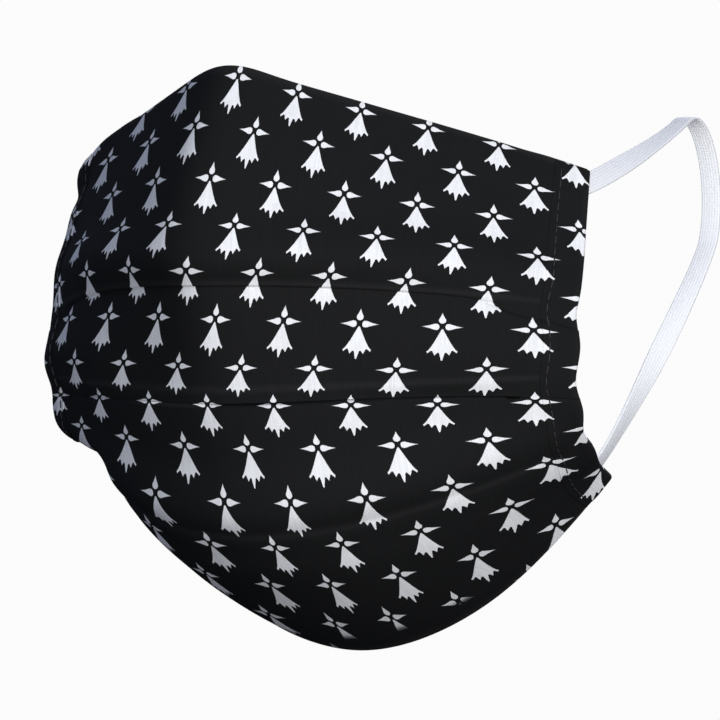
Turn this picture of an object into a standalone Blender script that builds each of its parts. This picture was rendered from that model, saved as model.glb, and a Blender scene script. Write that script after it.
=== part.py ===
"""Pleated cloth face mask in its worn shape, with folded side hems and flat elastic ear loops.

Metres, +Z up. The origin is the nose bridge, at the middle of the top edge. The front faces -Y and
+X is the wearer's left. The cloth is a loft through the stations below: a point of it is named by
`across`, -1 at the right side edge to +1 at the left one, and `down`, 0 at the top edge to 1 at the
chin hem.
"""

import functools
import math
from typing import NamedTuple

import bpy
from mathutils import Vector

# Driving dimensions
MASK_HEIGHT = 0.151  # top edge at the nose bridge, down to the lowest point of the chin hem
MASK_DEPTH = 0.068  # nose bridge, back to the bottom corners
HALF_WIDTH = 0.0755  # middle of the mask to its widest side edge
CLOTH = 0.0020  # wall of the pleated panel, two layers of cloth
PLEAT_STEP = 0.0028  # how far a pleat's lip stands over the cloth below it
PLEAT_LEDGE = 0.0020  # height of the turned-in ledge under a lip
HEM_WIDTH = 0.0135  # side hem, from its stitched line to the side edge
HEM_CLOTH = 0.0010  # one leaf of the side hem
ELASTIC_WIDTH = 0.0052
ELASTIC_THICK = 0.0010
ELASTIC_TUCK = 0.0095  # length of each elastic end that lies under the side hem
CLEARANCE = 0.0003  # between pieces that are sewn together

# Where the elastic passes behind the ear: an upright oval of these half-sizes
EAR_BACK = 0.1000  # nose bridge, back to the middle of the oval
EAR_DROP = 0.0400  # nose bridge, down to the middle of the oval
EAR_OUT = 0.0750  # middle of the head, out to the elastic
EAR_HALF_DEPTH = 0.0130
EAR_HALF_HEIGHT = 0.0190

PRINTED_BLACK = (0.016, 0.016, 0.018)
HEM_BLACK = (0.018, 0.018, 0.020)
ELASTIC_WHITE = (0.86, 0.87, 0.88)
CLOTH_ROUGHNESS = 0.9
ELASTIC_ROUGHNESS = 0.8

# Fineness of the meshes
COLUMNS = 44
PANEL_ROWS = (10, 5, 6, 9)  # rows in each panel, from the nose to the chin
HEM_COLUMNS = 3
HEM_TURNS = 3
TUCK_STEPS = 3
STRAND_STEPS = 16
EAR_STEPS = 20
EDGE_TANGENT = 0.01  # step for the slopes of the loft
SHARP_ANGLE = math.radians(40)  # faces that meet at more than this are shaded with an edge


class Station(NamedTuple):
    """One section across the mask. Lengths are shares of MASK_DEPTH, MASK_HEIGHT and HALF_WIDTH."""

    down: float
    centre_back: float
    centre_drop: float
    edge_out: float
    edge_back: float
    edge_drop: float
    back_power: float  # 1 runs straight back from the middle, 2 is a bow
    drop_power: float


STATIONS = (
    Station(0.00, 0.00, 0.000, 0.950, 0.77, 0.200, 1.00, 1.00),
    Station(0.18, -0.23, 0.180, 0.980, 0.64, 0.320, 1.02, 1.30),
    Station(0.36, -0.28, 0.325, 0.995, 0.53, 0.430, 1.10, 1.60),
    Station(0.50, -0.22, 0.465, 1.000, 0.50, 0.515, 1.25, 1.80),
    Station(0.62, -0.17, 0.575, 0.985, 0.54, 0.580, 1.45, 1.95),
    Station(0.80, 0.05, 0.795, 0.935, 0.74, 0.660, 1.80, 2.10),
    Station(0.90, 0.36, 0.900, 0.895, 0.86, 0.690, 2.05, 2.00),
    Station(1.00, 0.76, 1.000, 0.880, 0.97, 0.715, 2.30, 1.80),
)
BRIDGE_ROUND = 0.09  # half of the flattened nose bend, as a share of the half width
SIDE_TURN = math.radians(50)  # how much a section's spacing closes up towards the sides


class Pleat(NamedTuple):
    """One fold across the mask, with its lip hanging over the panel below."""

    centre_down: float
    edge_down: float
    edge_step: float  # the lip at the side edges, as a share of PLEAT_STEP


PLEATS = (
    Pleat(0.375, 0.385, 0.25),
    Pleat(0.570, 0.560, 0.25),
    Pleat(0.775, 0.790, 0.25),
)
LIP_RISE = 1.6  # a panel leans out towards its lip by this power of the way down it
EDGE_LEDGE = 3.0  # a ledge is this much longer at the side edges, where the pleats are pressed flat
LIP_ROUND = (0.22, 0.75)  # the lip's rounded edge: share of the ledge, share of the step
HEM_FULLNESS = 0.5  # power of the side hem's fold: 1 is round, and less is fuller


class EarStrand(NamedTuple):
    """One end of an ear loop."""

    corner_down: float  # where its middle leaves the side edge
    ear_angle: float  # where it meets the oval behind the ear, in degrees from straight back
    leave_pull: float  # length of its run out of the hem, as a share of the strand's straight length
    ear_pull: float


UPPER_STRAND = EarStrand(0.045, 104.0, 0.55, 0.55)
LOWER_STRAND = EarStrand(0.900, -42.0, 0.25, 0.35)


def through_stations(down, column):
    """The value of one column at any way down, on a smooth curve through the stations."""
    index = max(i for i, row in enumerate(STATIONS[:-1]) if row.down <= max(down, 0.0))
    start, end = STATIONS[index], STATIONS[index + 1]
    span = end.down - start.down
    share = (down - start.down) / span

    def slope(i):
        before, after = STATIONS[max(i - 1, 0)], STATIONS[min(i + 1, len(STATIONS) - 1)]
        rise = getattr(after, column) - getattr(before, column)
        return rise / (after.down - before.down) * span

    first, last = getattr(start, column), getattr(end, column)
    return (
        first
        + share * slope(index)
        + share**2 * (3 * (last - first) - 2 * slope(index) - slope(index + 1))
        + share**3 * (2 * (first - last) + slope(index) + slope(index + 1))
    )


def ease(share):
    """0 to 1 with a level start and end."""
    return share**2 * (3 - 2 * share)


def bow(across, power):
    """0 at the middle and 1 at a side edge, with the middle rounded off."""
    round_off = BRIDGE_ROUND**power
    reach = (across**2 + BRIDGE_ROUND**2) ** (power / 2) - round_off
    return reach / ((1 + BRIDGE_ROUND**2) ** (power / 2) - round_off)


def on_cloth(across, down):
    """A point of the smooth outer surface, without its pleats."""
    centre_back = through_stations(down, "centre_back") * MASK_DEPTH
    edge_back = through_stations(down, "edge_back") * MASK_DEPTH
    centre_drop = through_stations(down, "centre_drop") * MASK_HEIGHT
    edge_drop = through_stations(down, "edge_drop") * MASK_HEIGHT
    edge_out = through_stations(down, "edge_out") * HALF_WIDTH
    spacing = (across + math.sin(across * SIDE_TURN) / math.sin(SIDE_TURN)) / 2
    back_bow = bow(across, through_stations(down, "back_power"))
    drop_bow = bow(across, through_stations(down, "drop_power"))
    return Vector(
        (
            edge_out * spacing,
            centre_back + (edge_back - centre_back) * back_bow,
            -centre_drop - (edge_drop - centre_drop) * drop_bow,
        )
    )


def slopes(across, down):
    """The unit directions across and down the smooth surface."""
    before, after = max(across - EDGE_TANGENT, -1.0), min(across + EDGE_TANGENT, 1.0)
    above, below = max(down - EDGE_TANGENT, 0.0), min(down + EDGE_TANGENT, 1.0)
    sideways = on_cloth(after, down) - on_cloth(before, down)
    downwards = on_cloth(across, below) - on_cloth(across, above)
    return sideways.normalized(), downwards.normalized()


def outward(across, down):
    """The unit normal of the smooth surface, away from the face."""
    sideways, downwards = slopes(across, down)
    return downwards.cross(sideways).normalized()


def pleat_down(pleat, across):
    """Where a pleat's lip lies at this place across."""
    return pleat.centre_down + (pleat.edge_down - pleat.centre_down) * across**2


def pleat_step(pleat, across):
    """How far a pleat's lip stands out at this place across."""
    return PLEAT_STEP * (1 - (1 - pleat.edge_step) * across**4)


def pleat_ledge(across):
    """The height of the ledges at this place across, as a share of the way down."""
    return PLEAT_LEDGE / MASK_HEIGHT * (1 + (EDGE_LEDGE - 1) * across**4)


@functools.cache
def cloth_rows(across):
    """(down, lift) of each row of the pleated panel, from the top edge to the chin hem."""
    ledge = pleat_ledge(across)
    rows = []
    start = 0.0
    for pleat, count in zip(PLEATS, PANEL_ROWS):
        lip, step = pleat_down(pleat, across), pleat_step(pleat, across)
        for i in range(count):
            share = i / count
            rows.append((start + (lip - start) * share, step * share**LIP_RISE))
        rows.append((lip, step))
        rows.append((lip + ledge * LIP_ROUND[0], step * LIP_ROUND[1]))
        start = lip + ledge
    for i in range(PANEL_ROWS[-1] + 1):
        rows.append((start + (1 - start) * i / PANEL_ROWS[-1], 0.0))
    return rows


@functools.cache
def pleated(across, row):
    """A point of the panel's outer face."""
    down, lift = cloth_rows(across)[row]
    return on_cloth(across, down) + outward(across, down) * lift


def pleated_normal(across, row):
    """The panel's unit normal there: the mean of the cloth above the row and below it."""
    before, after = max(across - EDGE_TANGENT, -1.0), min(across + EDGE_TANGENT, 1.0)
    sideways = pleated(after, row) - pleated(before, row)
    total = Vector()
    for upper in (row - 1, row):
        if 0 <= upper < len(cloth_rows(across)) - 1:
            downwards = pleated(across, upper + 1) - pleated(across, upper)
            total += downwards.cross(sideways).normalized()
    return total.normalized()


def sheet(name, strips, thickness, offset, material):
    """A sheet of cloth or elastic through strips of points, thickened by a Solidify modifier."""
    width = len(strips[0])
    faces = [
        (i * width + j, i * width + j + 1, (i + 1) * width + j + 1, (i + 1) * width + j)
        for i in range(len(strips) - 1)
        for j in range(width - 1)
    ]
    mesh = bpy.data.meshes.new(name)
    mesh.from_pydata([point for strip in strips for point in strip], [], faces)
    mesh.materials.append(material)
    mesh.shade_smooth()
    mesh.set_sharp_from_angle(angle=SHARP_ANGLE)
    obj = bpy.data.objects.new(name, mesh)
    solidify = obj.modifiers.new("wall", "SOLIDIFY")
    solidify.thickness = thickness
    solidify.offset = offset
    solidify.use_even_offset = False
    return obj


def make_material(name, colour, roughness):
    """A plain Principled material."""
    material = bpy.data.materials.new(name)
    material.use_nodes = True
    shader = material.node_tree.nodes["Principled BSDF"]
    shader.inputs["Base Color"].default_value = (*colour, 1.0)
    shader.inputs["Roughness"].default_value = roughness
    shader.inputs["Metallic"].default_value = 0.0
    material.diffuse_color = (*colour, 1.0)
    return material


def mask_panel(material):
    """The pleated cloth itself, from side edge to side edge."""
    places = [1 - 2 * j / COLUMNS for j in range(COLUMNS + 1)]
    rows = range(len(cloth_rows(0.0)))
    strips = [[pleated(across, row) for across in places] for row in rows]
    return sheet("mask_panel", strips, CLOTH, -1.0, material)


def hem_leaf(side, row, stand_off):
    """Points across one leaf of the side hem, from its stitched line to the side edge."""
    half_row = (pleated(side, row) - pleated(0.0, row)).length
    leaf = []
    for j in range(HEM_COLUMNS + 1):
        across = side * (1 - HEM_WIDTH / half_row * (1 - j / HEM_COLUMNS))
        leaf.append(pleated(across, row) + pleated_normal(across, row) * stand_off)
    return leaf


def hem_section(side, row):
    """Points of the side hem's outer face at one row: outer leaf, round the edge, inner leaf."""
    normal = pleated_normal(side, row)
    beyond = slopes(side, cloth_rows(side)[row][0])[0] * side
    middle = pleated(side, row) - normal * CLOTH / 2
    stand_off = CLEARANCE + HEM_CLOTH
    half = CLOTH / 2 + stand_off
    turns = [math.pi * k / (HEM_TURNS + 1) for k in range(1, HEM_TURNS + 1)]
    around = [
        middle + normal * half * math.cos(turn) + beyond * stand_off * math.sin(turn) ** HEM_FULLNESS
        for turn in turns
    ]
    return hem_leaf(side, row, stand_off) + around + hem_leaf(side, row, -CLOTH - stand_off)[::-1]


def side_hem(name, side, material):
    """A strip folded over one side edge, from the top corner to the bottom corner."""
    strips = [hem_section(side, row) for row in range(len(cloth_rows(side)))]
    if side > 0:
        strips = [strip[::-1] for strip in strips]
    return sheet(name, strips, HEM_CLOTH, -1.0, material)


def ear_point(side, degrees):
    """A point of the oval behind the ear, and the direction of travel there, top to bottom."""
    angle = math.radians(degrees)
    point = Vector(
        (
            side * EAR_OUT,
            EAR_BACK + EAR_HALF_DEPTH * math.cos(angle),
            -EAR_DROP + EAR_HALF_HEIGHT * math.sin(angle),
        )
    )
    travel = Vector((0.0, EAR_HALF_DEPTH * math.sin(angle), -EAR_HALF_HEIGHT * math.cos(angle)))
    return point, travel.normalized()


def tucked_end(side, end):
    """Sections of the elastic that lie under the side hem, from its cut end to the side edge."""
    half_row = (on_cloth(side, end.corner_down) - on_cloth(0.0, end.corner_down)).length
    above, below = end.corner_down - EDGE_TANGENT, end.corner_down + EDGE_TANGENT
    per_down = (on_cloth(side, below) - on_cloth(side, above)).length / (below - above)
    half_width = ELASTIC_WIDTH / 2 / per_down
    under_hem = CLOTH + HEM_CLOTH + 2 * CLEARANCE + ELASTIC_THICK / 2
    sections = []
    for i in range(TUCK_STEPS + 1):
        across = side * (1 - ELASTIC_TUCK / half_row * (1 - i / TUCK_STEPS))
        downs = [end.corner_down + half_width * k for k in (-1, 0, 1)]
        sections.append([on_cloth(across, d) - outward(across, d) * under_hem for d in downs])
    return sections


def section_of(middle, wide, ahead):
    """Three points across the elastic, square to the way it runs."""
    ahead = ahead.normalized()
    half = (wide - ahead * wide.dot(ahead)).normalized() * (ELASTIC_WIDTH / 2)
    return [middle - half, middle, middle + half]


def strand(side, end):
    """Sections along one strand, from its tucked end to the ear: three points across each."""
    sections = tucked_end(side, end)
    leave = sections[-1][1]
    along_edge = (sections[-1][2] - sections[-1][0]).normalized()
    heading = (leave - sections[-2][1]).normalized()
    outwards = Vector((side, 0.0, 0.0))
    ear, travel = ear_point(side, end.ear_angle)
    if end.ear_angle < 0:
        travel = -travel
    reach = (ear - leave).length
    middles, widths = [], []
    for i in range(STRAND_STEPS + 1):
        share = i / STRAND_STEPS
        turned = ease(share)
        middles.append(
            leave.lerp(ear, turned)
            + heading * reach * end.leave_pull * share * (1 - share) ** 2
            - travel * reach * end.ear_pull * share**2 * (1 - share)
        )
        widths.append(along_edge.lerp(outwards, turned))
    for i in range(1, STRAND_STEPS):
        sections.append(section_of(middles[i], widths[i], middles[i + 1] - middles[i - 1]))
    return sections


def ear_loop(name, side, material):
    """Flat elastic from the top corner, behind the ear, to the bottom corner."""
    sweep = LOWER_STRAND.ear_angle - UPPER_STRAND.ear_angle
    around = []
    for i in range(EAR_STEPS + 1):
        point, travel = ear_point(side, UPPER_STRAND.ear_angle + sweep * i / EAR_STEPS)
        around.append(section_of(point, Vector((side, 0.0, 0.0)), travel))
    lower = strand(side, LOWER_STRAND)[::-1]
    return sheet(name, strand(side, UPPER_STRAND) + around + lower, ELASTIC_THICK, 0.0, material)


def build():
    """Clears the scene and puts every piece of the mask in its collection."""
    for obj in list(bpy.data.objects):
        bpy.data.objects.remove(obj, do_unlink=True)
    collection = bpy.data.collections.new("cloth_face_mask")
    bpy.context.scene.collection.children.link(collection)
    printed = make_material("printed_cloth", PRINTED_BLACK, CLOTH_ROUGHNESS)
    hem_cloth = make_material("hem_cloth", HEM_BLACK, CLOTH_ROUGHNESS)
    elastic = make_material("white_elastic", ELASTIC_WHITE, ELASTIC_ROUGHNESS)
    pieces = [mask_panel(printed)]
    for word, side in (("left", 1.0), ("right", -1.0)):
        pieces.append(side_hem(f"side_hem_{word}", side, hem_cloth))
        pieces.append(ear_loop(f"ear_loop_{word}", side, elastic))
    for piece in pieces:
        collection.objects.link(piece)


build()
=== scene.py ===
"""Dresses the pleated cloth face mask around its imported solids.

Metres, +Z up. The origin is the nose bridge, at the middle of the mask's top edge. The front faces
-Y and +X is the wearer's left. A point of the cloth is named by `across`, -1 at the right side edge
to +1 at the left one, and `down`, 0 at the top edge to 1 at the chin hem.
"""

from __future__ import annotations

import logging
import math
from dataclasses import dataclass, field
from enum import Enum
from typing import NamedTuple, Sequence

import bpy
import numpy as np
from mathutils import Matrix, Vector

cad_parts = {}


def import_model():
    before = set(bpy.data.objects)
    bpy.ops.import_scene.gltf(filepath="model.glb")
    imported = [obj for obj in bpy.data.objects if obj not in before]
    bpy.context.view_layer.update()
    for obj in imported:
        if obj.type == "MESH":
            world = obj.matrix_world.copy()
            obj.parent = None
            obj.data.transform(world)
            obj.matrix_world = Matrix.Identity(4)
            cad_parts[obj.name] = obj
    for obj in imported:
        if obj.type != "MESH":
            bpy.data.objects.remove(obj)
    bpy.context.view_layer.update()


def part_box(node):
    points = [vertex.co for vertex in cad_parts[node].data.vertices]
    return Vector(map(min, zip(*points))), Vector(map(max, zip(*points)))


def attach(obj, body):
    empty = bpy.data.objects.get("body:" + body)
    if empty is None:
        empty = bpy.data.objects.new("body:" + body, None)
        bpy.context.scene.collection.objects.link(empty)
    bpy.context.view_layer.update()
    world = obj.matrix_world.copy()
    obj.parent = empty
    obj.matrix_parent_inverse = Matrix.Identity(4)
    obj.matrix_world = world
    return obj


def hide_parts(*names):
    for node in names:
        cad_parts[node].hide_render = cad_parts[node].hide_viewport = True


LOG = logging.getLogger("cloth_face_mask")

MM = 0.001
TINY = 1e-12  # keeps a division from failing
PIXELS = 720  # side of the square picture
SLOPE_STEP = 0.004  # of `across` or `down`, to measure the cloth's slopes over
PAPER_WHITE = 0.97  # how bright the background looks, where 1 is full white
THREADS = 2.6  # of the cloth, to a millimetre each way
ELASTIC_WIDTH = 5.2  # in millimetres
ELASTIC_RIBS = 7
VECTOR, FLOAT = "NodeSocketVector", "NodeSocketFloat"

Array = np.ndarray
Colour = tuple[float, float, float]
Piece = bpy.types.Object
Material = bpy.types.Material
Tree = bpy.types.NodeTree
Socket = bpy.types.NodeSocket


class Side(Enum):
    """The two sides of the mask, as the wearer has them."""

    LEFT = 1
    RIGHT = -1

    @property
    def word(self) -> str:
        """The side's name in a piece's name."""
        return self.name.lower()

    @property
    def sign(self) -> float:
        """+1 towards +X and -1 towards -X."""
        return float(self.value)


# ---- small tools for shapes


def eased(low: float, high: float, value: Array | float) -> Array:
    """A soft step.

    Args:
        low: where the step starts.
        high: where it ends.
        value: the place or places asked about.

    Returns:
        0 before `low`, 1 after `high`, and a level-ended curve between them.
    """
    share = np.clip((np.asarray(value, float) - low) / (high - low), 0.0, 1.0)
    return share * share * (3.0 - 2.0 * share)


def unit(vectors: Array) -> Array:
    """Vectors of length 1 in the directions given."""
    return vectors / np.maximum(np.linalg.norm(vectors, axis=-1, keepdims=True), TINY)


def through_rows(rows: Sequence[NamedTuple], down: Array, column: str) -> Array:
    """Reads one column of a table at any way down, on a smooth curve through its rows.

    Args:
        rows: the table, each row with a `down` and the column.
        down: the places asked about.
        column: the column's name.

    Returns:
        The column's value at each place.
    """
    knots = np.array([row.down for row in rows])
    values = np.array([getattr(row, column) for row in rows])
    slopes = np.empty_like(values)
    slopes[1:-1] = (values[2:] - values[:-2]) / (knots[2:] - knots[:-2])
    slopes[0] = (values[1] - values[0]) / (knots[1] - knots[0])
    slopes[-1] = (values[-1] - values[-2]) / (knots[-1] - knots[-2])
    down = np.asarray(down, float)
    index = np.clip(np.searchsorted(knots, down, side="right") - 1, 0, len(knots) - 2)
    span = knots[index + 1] - knots[index]
    share = (down - knots[index]) / span
    start, end = values[index], values[index + 1]
    leave, arrive = slopes[index] * span, slopes[index + 1] * span
    return (
        start
        + share * leave
        + share**2 * (3 * (end - start) - 2 * leave - arrive)
        + share**3 * (2 * (start - end) + leave + arrive)
    )


def run_along(line: Array) -> Array:
    """How far along a line each of its points is, in metres."""
    return np.concatenate([[0.0], np.cumsum(np.linalg.norm(np.diff(line, axis=0), axis=1))])


def falling_off(place: NamedTuple, across: Array, down: Array) -> Array:
    """1 at a named place of the cloth, and less and less away from it.

    Args:
        place: the place, with its `across` and `down`, and how `wide` and `tall` it reaches.
        across: places across the mask.
        down: places down it.

    Returns:
        The share of the place's own value that each of those places gets.
    """
    aside = ((across - place.across) / place.wide) ** 2
    return np.exp(-aside - ((down - place.down) / place.tall) ** 2)


def grid_normals(points: Array) -> Array:
    """The unit normals of a grid of points, rows running down and columns running across.

    Args:
        points: an array of rows, columns and three coordinates.

    Returns:
        An array of the same shape, pointing away from the face where columns run from -1 to 1.
    """
    downwards = np.gradient(points, axis=0)
    sideways = np.gradient(points, axis=1)
    return unit(np.cross(downwards, sideways))


class Chart(NamedTuple):
    """What a grid point carries besides its place."""

    printed: Array  # place on the print, in pitches
    woven: Array  # place on the flat cloth, in millimetres
    worn: Array  # 0 on a plain stretch to 1 on a rubbed edge
    painted_chin_shade: Array  # 1 where the print is left off, as painted shade along the chin edge


@dataclass
class Shell:
    """A closed sheet of cloth around a grid that runs through its middle."""

    middle: Array
    thickness: Array
    chart: Chart
    rim_steps: int = 3

    def _perimeter(self) -> tuple[Array, Array]:
        """Grid places along the edge, once round.

        Returns:
            The row and the column of each edge point.
        """
        rows, columns = self.middle.shape[:2]
        top = [(0, j) for j in range(columns)]
        right = [(i, columns - 1) for i in range(1, rows)]
        bottom = [(rows - 1, j) for j in range(columns - 2, -1, -1)]
        left = [(i, 0) for i in range(rows - 2, 0, -1)]
        places = np.array(top + right + bottom + left)
        return places[:, 0], places[:, 1]

    def build(self, name: str, outer: Material, inner: Material) -> Piece:
        """Makes the sheet's mesh with a rounded edge all round.

        Args:
            name: the new piece's name.
            outer: the finish of the face away from the wearer, and of the edge.
            inner: the finish of the face towards the wearer.

        Returns:
            The new piece.
        """
        rows, columns = self.middle.shape[:2]
        normals = grid_normals(self.middle)
        half = self.thickness[..., None] / 2
        front = (self.middle + normals * half).reshape(-1, 3)
        back = (self.middle - normals * half).reshape(-1, 3)
        edge_row, edge_column = self._perimeter()
        inner_row = np.clip(edge_row, 1, rows - 2)
        inner_column = np.clip(edge_column, 1, columns - 2)
        edge, edge_normal = self.middle[edge_row, edge_column], normals[edge_row, edge_column]
        away = edge - self.middle[inner_row, inner_column]
        away = unit(away - edge_normal * (away * edge_normal).sum(-1, keepdims=True))
        edge_half = half[edge_row, edge_column]
        count = len(edge)
        rings = [
            edge + edge_half * (edge_normal * math.cos(turn) + away * math.sin(turn))
            for turn in (math.pi * k / (self.rim_steps + 1) for k in range(1, self.rim_steps + 1))
        ]
        points = np.concatenate([front, back, *rings])

        index = np.arange(rows * columns).reshape(rows, columns)
        corners = [index[:-1, :-1], index[1:, :-1], index[1:, 1:], index[:-1, 1:]]
        quads = np.stack(corners, -1).reshape(-1, 4)
        back_quads = quads[:, ::-1] + rows * columns
        edge_index = index[edge_row, edge_column]
        loops = [edge_index]
        loops += [2 * rows * columns + k * count + np.arange(count) for k in range(self.rim_steps)]
        loops.append(edge_index + rows * columns)
        rim = [
            np.stack([a, np.roll(a, -1), np.roll(b, -1), b], -1)
            for a, b in zip(loops[:-1], loops[1:])
        ]
        faces = np.concatenate([quads, back_quads, *rim])
        slots = np.zeros(len(faces), int)
        slots[len(quads) : 2 * len(quads)] = 1

        def carried(values: Array) -> Array:
            """A grid's values for every vertex: both faces and the edge's rings."""
            flat = values.reshape(rows * columns, -1)
            return np.concatenate([flat, flat] + [flat[edge_index]] * self.rim_steps)

        return make_piece(
            name,
            points,
            faces,
            [outer, inner],
            slots,
            {"printed": carried(self.chart.printed), "woven": carried(self.chart.woven)},
            {"worn": carried(self.chart.worn)[:, 0], "painted_chin_shade": carried(self.chart.painted_chin_shade)[:, 0]},
        )


def make_piece(
    name: str,
    points: Array,
    faces: Sequence[Sequence[int]] | Array,
    materials: Sequence[Material],
    slots: Array | None = None,
    maps: dict[str, Array] | None = None,
    marks: dict[str, Array] | None = None,
) -> Piece:
    """Makes a smooth mesh piece with its maps and finishes.

    Args:
        name: the piece's name.
        points: its vertices, in metres.
        faces: its faces, as vertex indices.
        materials: its finishes.
        slots: which finish each face has, or None for the first.
        maps: flat coordinates of each vertex, by the name of the map.
        marks: a number for each vertex, by name.

    Returns:
        The new piece, linked into the mask's collection.
    """
    mesh = bpy.data.meshes.new(name)
    faces = faces.tolist() if isinstance(faces, Array) else faces
    mesh.from_pydata(points.tolist(), [], faces)
    for material in materials:
        mesh.materials.append(material)
    if slots is not None:
        mesh.polygons.foreach_set("material_index", slots.astype(np.int32))
    corners = np.empty(len(mesh.loops), np.int32)
    mesh.loops.foreach_get("vertex_index", corners)
    for map_name, values in (maps or {}).items():
        layer = mesh.uv_layers.new(name=map_name)
        layer.data.foreach_set("uv", np.asarray(values, np.float32)[corners].ravel())
    for mark, values in (marks or {}).items():
        attribute = mesh.attributes.new(mark, "FLOAT", "POINT")
        attribute.data.foreach_set("value", np.asarray(values, np.float32))
    mesh.shade_smooth()
    mesh.validate()
    mesh.update()
    piece = bpy.data.objects.new(name, mesh)
    mask_collection().objects.link(piece)
    return piece


def mask_collection() -> bpy.types.Collection:
    """The collection that holds the mask's pieces, made on first use."""
    name = "dressed_face_mask"
    found = bpy.data.collections.get(name)
    if found is None:
        found = bpy.data.collections.new(name)
        bpy.context.scene.collection.children.link(found)
    return found


# ---- the worn shape of the cloth


class Station(NamedTuple):
    """One section across the mask. Lengths are shares of its depth, height and half width."""

    down: float
    centre_back: float  # the middle's way back, and its drop below the top edge
    centre_drop: float
    edge_out: float  # the side edge's way out, back and down
    edge_back: float
    edge_drop: float
    back_power: float  # 1 runs straight back from the middle, 2 is a bow
    drop_power: float


class Pleat(NamedTuple):
    """One fold across the mask, with its lip hanging over the panel below."""

    centre_down: float
    edge_down: float
    edge_step: float  # the lip at the side edges, as a share of the full step
    middle_step: float  # the same at the middle
    opens: tuple[float, float]  # how far across it grows from the middle's step to the full one
    belly: float  # how far the panel swells out above its lip, in metres
    turned: float  # 1 where the cloth turns back behind the lip, 0 for a soft step
    ledge: float  # length of the soft step below the lip, in metres
    step: float  # how far the lip stands out over the panel below, in metres
    turn_in: float  # how much of that the panel gives back by turning in above its lip


class PrintRow(NamedTuple):
    """Where the print lies on the worn cloth, counted in half pitches."""

    down: float
    shift: float  # the print's own column that lies under the middle
    left_reach: float  # half pitches from the middle to the left side edge
    right_reach: float
    middle_row: float
    side_row: float


class PrintNudge(NamedTuple):
    """A small stretch of the print around one place, counted in half pitches."""

    across: float
    down: float
    wide: float
    tall: float
    sideways: float
    downwards: float


class Settling(NamedTuple):
    """A place where the worn cloth has settled away from its even shape."""

    across: float
    down: float
    wide: float
    tall: float
    outwards: float  # in metres, as are the next two
    sideways: float  # away from the middle
    upwards: float  # along the cloth


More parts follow.
